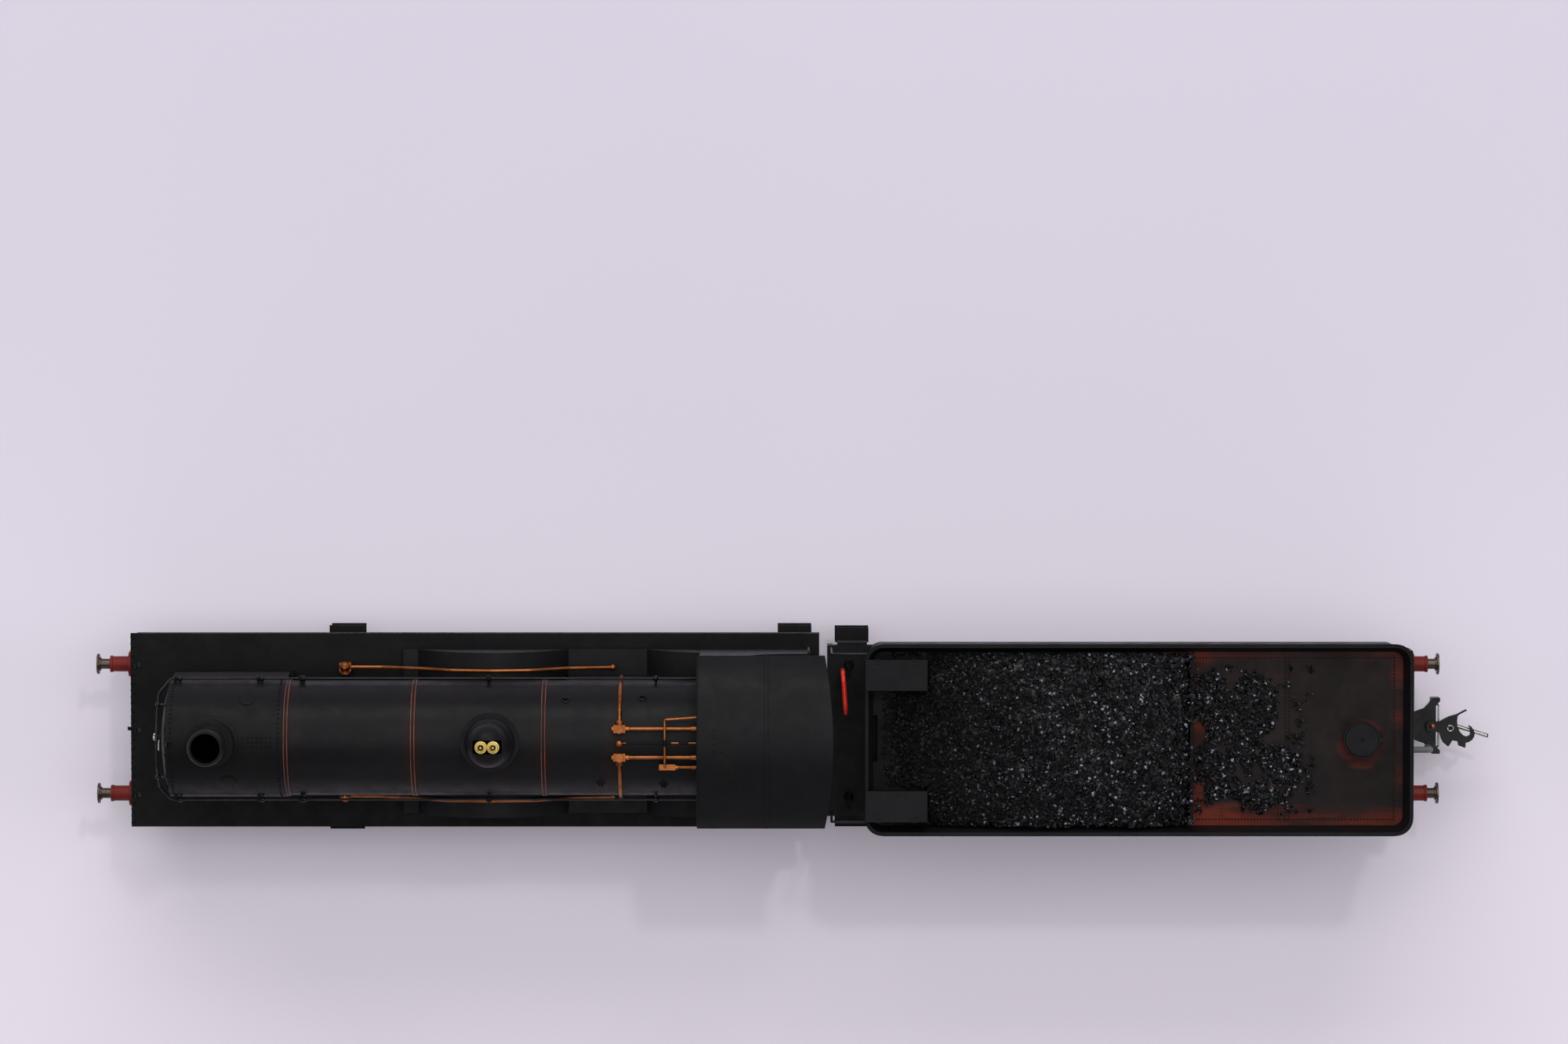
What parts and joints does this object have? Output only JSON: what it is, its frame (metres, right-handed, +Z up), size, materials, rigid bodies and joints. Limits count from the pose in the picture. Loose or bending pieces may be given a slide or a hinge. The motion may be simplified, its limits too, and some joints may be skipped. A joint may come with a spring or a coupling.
{
  "type": "model train",
  "caption": "Model steam engine with a four-wheel leading bogie, coupled driving wheels and a long coal tender, black with brass and red fittings.",
  "frame": {"origin": "middle of the train's length and width, on the plane that the wheel flanges reach", "axes": "-X towards the engine's front, +X towards the tender's rear, +Y to the engine's right, +Z up"},
  "size_m": [0.2452, 0.036, 0.0537],
  "materials": {
    "body_black": "satin black, lightly weathered with brown dust",
    "tank_paint": "satin black sides, rust-brown tank top",
    "band_lining": "black band with a dull red line on each side",
    "valve_brass": "polished",
    "pipe_copper": "dull copper",
    "rail_black": "blackened wire",
    "buffer_red": "satin red, dusty",
    "buffer_steel": "turned steel, brown with dirt",
    "spring_steel": "plain steel",
    "chassis_metal": "chemically blacked die casting",
    "frame_plastic": "black moulding",
    "motor_can": "plated can",
    "gear_plastic": "natural acetal",
    "wheel_metal": "black centres, worn bright treads",
    "rod_steel": "dull steel with oil",
    "hook_black": "blackened steel with a bright pin",
    "coal": "crushed coal, glittering on its faces",
    "wire_red": "red insulated wire",
    "pipe_grey": "grey rubber hose"
  },
  "bodies": {
    "engine": {"footplate": "body_black", "footsteps": "body_black", "splashers": "body_black", "boiler": "body_black", "boiler_bands": "band_lining", "smokebox": "body_black", "smokebox_door": "body_black", "chimney": "body_black", "dome": "body_black", "safety_valves": "valve_brass", "handrails": "rail_black", "feed_pipes": "pipe_copper", "steam_fittings": "pipe_copper", "cab": "body_black", "cab_roof": "body_black", "backhead": "body_black", "front_coupling_hook": "rail_black", "front_buffer_housings": "buffer_red", "chassis_block": "chassis_metal", "keeper_plate": "frame_plastic", "chassis_screws": "spring_steel", "motor": "motor_can", "brake_gear": "rail_black", "front_spring_right": "spring_steel", "front_spring_left": "spring_steel"},
    "drivers_front": {"driving_wheelset_front": "wheel_metal", "axle_gear": "gear_plastic"},
    "drivers_rear": {"driving_wheelset_rear": "wheel_metal"},
    "rod_right": {"coupling_rod_right": "rod_steel"},
    "rod_left": {"coupling_rod_left": "rod_steel"},
    "motor_shaft": {"worm_shaft": "spring_steel"},
    "bogie": {"bogie_frame": "frame_plastic"},
    "bogie_wheels_front": {"bogie_wheelset_front": "wheel_metal"},
    "bogie_wheels_rear": {"bogie_wheelset_rear": "wheel_metal"},
    "front_buffer_right": {"front_buffer_right": "buffer_steel"},
    "front_buffer_left": {"front_buffer_left": "buffer_steel"},
    "drawbar": {"drawbar": "chassis_metal"},
    "tender": {"tender_chassis": "body_black", "tender_steps": "body_black", "tender_tank": "tank_paint", "tank_flare": "tank_paint", "coal_load": "coal", "toolboxes": "tank_paint", "filler_cap": "tank_paint", "bogie_screws": "spring_steel", "rear_buffer_housings": "buffer_red", "vacuum_pipe": "pipe_grey", "coupling_body": "frame_plastic", "pickup_wire": "wire_red", "rear_spring_right": "spring_steel", "rear_spring_left": "spring_steel"},
    "tender_bogie_front": {"tender_bogie_front": "frame_plastic"},
    "tender_bogie_rear": {"tender_bogie_rear": "frame_plastic"},
    "rear_buffer_right": {"rear_buffer_right": "buffer_steel"},
    "rear_buffer_left": {"rear_buffer_left": "buffer_steel"},
    "coupling_hook": {"coupling_hook": "hook_black"},
    "tender_wheels_1": {"tender_wheelset_1": "wheel_metal"},
    "tender_wheels_2": {"tender_wheelset_2": "wheel_metal"},
    "tender_wheels_3": {"tender_wheelset_3": "wheel_metal"},
    "tender_wheels_4": {"tender_wheelset_4": "wheel_metal"}
  },
  "joints": [
    {"name": "driver_front_spin", "type": "hinge", "parent": "engine", "child": "drivers_front", "pos_m": [-0.05275, 0, 0.01385], "axis": [0, 1, 0], "continuous": true},
    {"name": "driver_rear_spin", "type": "hinge", "parent": "engine", "child": "drivers_rear", "pos_m": [-0.01275, 0, 0.01385], "axis": [0, 1, 0], "continuous": true},
    {"name": "rod_right_turn", "type": "hinge", "parent": "drivers_front", "child": "rod_right", "pos_m": [-0.05275, 0.0102, 0.00985], "axis": [0, 1, 0], "continuous": true},
    {"name": "rod_left_turn", "type": "hinge", "parent": "drivers_front", "child": "rod_left", "pos_m": [-0.05675, -0.0102, 0.01385], "axis": [0, 1, 0], "continuous": true},
    {"name": "motor_shaft_spin", "type": "hinge", "parent": "engine", "child": "motor_shaft", "pos_m": [-0.043, 0, 0.02195], "axis": [1, 0, 0], "continuous": true},
    {"name": "bogie_swivel", "type": "hinge", "parent": "engine", "child": "bogie", "pos_m": [-0.09275, 0, 0.0105], "axis": [0, 0, 1], "range_deg": [-6, 6]},
    {"name": "bogie_axle_front_spin", "type": "hinge", "parent": "bogie", "child": "bogie_wheels_front", "pos_m": [-0.10575, 0, 0.00785], "axis": [0, 1, 0], "continuous": true},
    {"name": "bogie_axle_rear_spin", "type": "hinge", "parent": "bogie", "child": "bogie_wheels_rear", "pos_m": [-0.07975, 0, 0.00785], "axis": [0, 1, 0], "continuous": true},
    {"name": "drawbar_swivel", "type": "hinge", "parent": "engine", "child": "drawbar", "pos_m": [0, 0, 0.0132], "axis": [0, 0, 1], "range_deg": [-2.5, 2.5]},
    {"name": "tender_swivel", "type": "hinge", "parent": "drawbar", "child": "tender", "pos_m": [0.011, 0, 0.0132], "axis": [0, 0, 1], "range_deg": [-2.5, 2.5]},
    {"name": "tender_bogie_front_swivel", "type": "hinge", "parent": "tender", "child": "tender_bogie_front", "pos_m": [0.0371, 0, 0.0105], "axis": [0, 0, 1], "range_deg": [-6, 6]},
    {"name": "tender_bogie_rear_swivel", "type": "hinge", "parent": "tender", "child": "tender_bogie_rear", "pos_m": [0.0811, 0, 0.0105], "axis": [0, 0, 1], "range_deg": [-6, 6]},
    {"name": "coupling_hook_swing", "type": "hinge", "parent": "tender", "child": "coupling_hook", "pos_m": [0.1127, 0, 0.0098], "axis": [0, 0, 1], "range_deg": [-8, 8]},
    {"name": "tender_axle_1_spin", "type": "hinge", "parent": "tender_bogie_front", "child": "tender_wheels_1", "pos_m": [0.0261, 0, 0.00785], "axis": [0, 1, 0], "continuous": true},
    {"name": "tender_axle_2_spin", "type": "hinge", "parent": "tender_bogie_front", "child": "tender_wheels_2", "pos_m": [0.0481, 0, 0.00785], "axis": [0, 1, 0], "continuous": true},
    {"name": "tender_axle_3_spin", "type": "hinge", "parent": "tender_bogie_rear", "child": "tender_wheels_3", "pos_m": [0.0701, 0, 0.00785], "axis": [0, 1, 0], "continuous": true},
    {"name": "tender_axle_4_spin", "type": "hinge", "parent": "tender_bogie_rear", "child": "tender_wheels_4", "pos_m": [0.0921, 0, 0.00785], "axis": [0, 1, 0], "continuous": true},
    {"name": "front_buffer_right_slide", "type": "slide", "parent": "engine", "child": "front_buffer_right", "axis": [1, 0, 0], "range_m": [0, 0.001], "stiffness_N_per_m": 250, "springref_m": -0.0004, "deforming": ["front_spring_right"]},
    {"name": "front_buffer_left_slide", "type": "slide", "parent": "engine", "child": "front_buffer_left", "axis": [1, 0, 0], "range_m": [0, 0.001], "stiffness_N_per_m": 250, "springref_m": -0.0004, "deforming": ["front_spring_left"]},
    {"name": "rear_buffer_right_slide", "type": "slide", "parent": "tender", "child": "rear_buffer_right", "axis": [-1, 0, 0], "range_m": [0, 0.001], "stiffness_N_per_m": 250, "springref_m": -0.0004, "deforming": ["rear_spring_right"]},
    {"name": "rear_buffer_left_slide", "type": "slide", "parent": "tender", "child": "rear_buffer_left", "axis": [-1, 0, 0], "range_m": [0, 0.001], "stiffness_N_per_m": 250, "springref_m": -0.0004, "deforming": ["rear_spring_left"]}
  ],
  "couplings": [
    {"joint": "driver_rear_spin", "follows": "driver_front_spin", "ratio": 1},
    {"joint": "rod_right_turn", "follows": "driver_front_spin", "ratio": -1},
    {"joint": "rod_left_turn", "follows": "driver_front_spin", "ratio": -1},
    {"joint": "motor_shaft_spin", "follows": "driver_front_spin", "ratio": -30}
  ]
}
